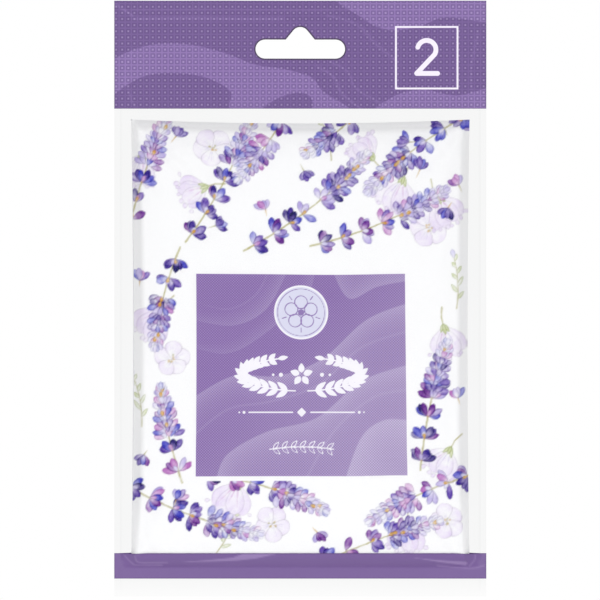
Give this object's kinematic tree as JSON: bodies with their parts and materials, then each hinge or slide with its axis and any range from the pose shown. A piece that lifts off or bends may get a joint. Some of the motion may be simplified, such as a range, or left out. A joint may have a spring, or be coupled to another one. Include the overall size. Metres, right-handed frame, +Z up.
{
  "type": "lavender sachet",
  "caption": "Hang-sell film pack holding scented paper drawer sachets: slotted purple header, clear pouch, bottom seal and tail, folding film and loose sachets.",
  "frame": {"origin": "crown of the hang slot, midway between the two films, where a display peg bears", "axes": "+Z up along the pack, +X to the right of a viewer who faces the front, the printed front faces -Y"},
  "size_m": [0.133, 0.0168, 0.213],
  "materials": {
    "header_print": "gloss",
    "clear_film": "gloss",
    "sachet_paper": "matte",
    "granules": "matte"
  },
  "bodies": {
    "header": {"header_front_film": "header_print", "header_back_film": "header_print"},
    "pouch": {"pouch_front_film": "clear_film", "pouch_back_film": "clear_film"},
    "tail": {"tail_front_film": "clear_film", "tail_back_film": "clear_film"},
    "front_sachet": {"front_sachet_front_sheet": "sachet_paper", "front_sachet_back_sheet": "sachet_paper", "front_sachet_granule_fill": "granules"},
    "rear_sachet": {"rear_sachet_front_sheet": "sachet_paper", "rear_sachet_back_sheet": "sachet_paper", "rear_sachet_granule_fill": "granules"}
  },
  "joints": [
    {"name": "header_fold", "type": "hinge", "parent": "header", "child": "pouch", "pos_m": [0, 0, -0.0292], "axis": [1, 0, 0], "range_deg": [-120, 120]},
    {"name": "tail_fold", "type": "hinge", "parent": "pouch", "child": "tail", "pos_m": [0, 0, -0.1972], "axis": [1, 0, 0], "range_deg": [-120, 120]},
    {"name": "front_sachet_slide", "type": "slide", "parent": "pouch", "child": "front_sachet", "axis": [0, 0, 1], "range_m": [0, 0.002]},
    {"name": "rear_sachet_slide", "type": "slide", "parent": "pouch", "child": "rear_sachet", "axis": [0, 0, 1], "range_m": [0, 0.002]}
  ]
}
